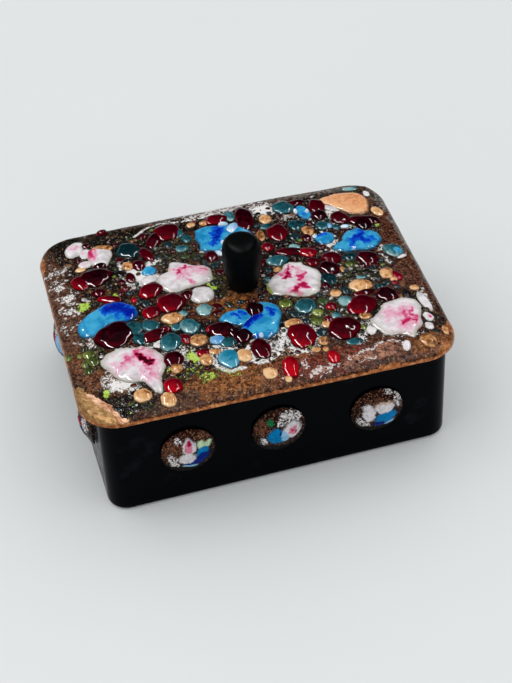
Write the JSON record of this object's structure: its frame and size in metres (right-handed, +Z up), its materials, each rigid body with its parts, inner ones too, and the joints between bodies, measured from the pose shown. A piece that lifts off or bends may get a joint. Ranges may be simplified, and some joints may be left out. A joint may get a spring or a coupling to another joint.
{
  "type": "enamel box",
  "caption": "Small black enamelled box with domed enamel discs on its walls and a loose, low-crowned copper lid with fused glass lumps and a turned peg knob.",
  "frame": {"origin": "middle of the underside, on the surface that the box stands on", "axes": "+X along the box's length to the right seen from its front, +Y to its back, +Z up"},
  "size_m": [0.1084, 0.085, 0.0558],
  "materials": {
    "black_enamel": "gloss black enamel",
    "lid_enamel": "gloss granular enamel with glass lumps",
    "black_satin": "turned, satin black",
    "disc_enamel": "gloss granular enamel"
  },
  "bodies": {
    "root": {"box_body": "black_enamel", "lid": "lid_enamel", "knob": "black_satin", "disc_front_1": "disc_enamel", "disc_front_2": "disc_enamel", "disc_front_3": "disc_enamel", "disc_back_1": "disc_enamel", "disc_back_2": "disc_enamel", "disc_back_3": "disc_enamel", "disc_left_1": "disc_enamel", "disc_left_2": "disc_enamel", "disc_right_1": "disc_enamel", "disc_right_2": "disc_enamel"}
  },
  "joints": []
}
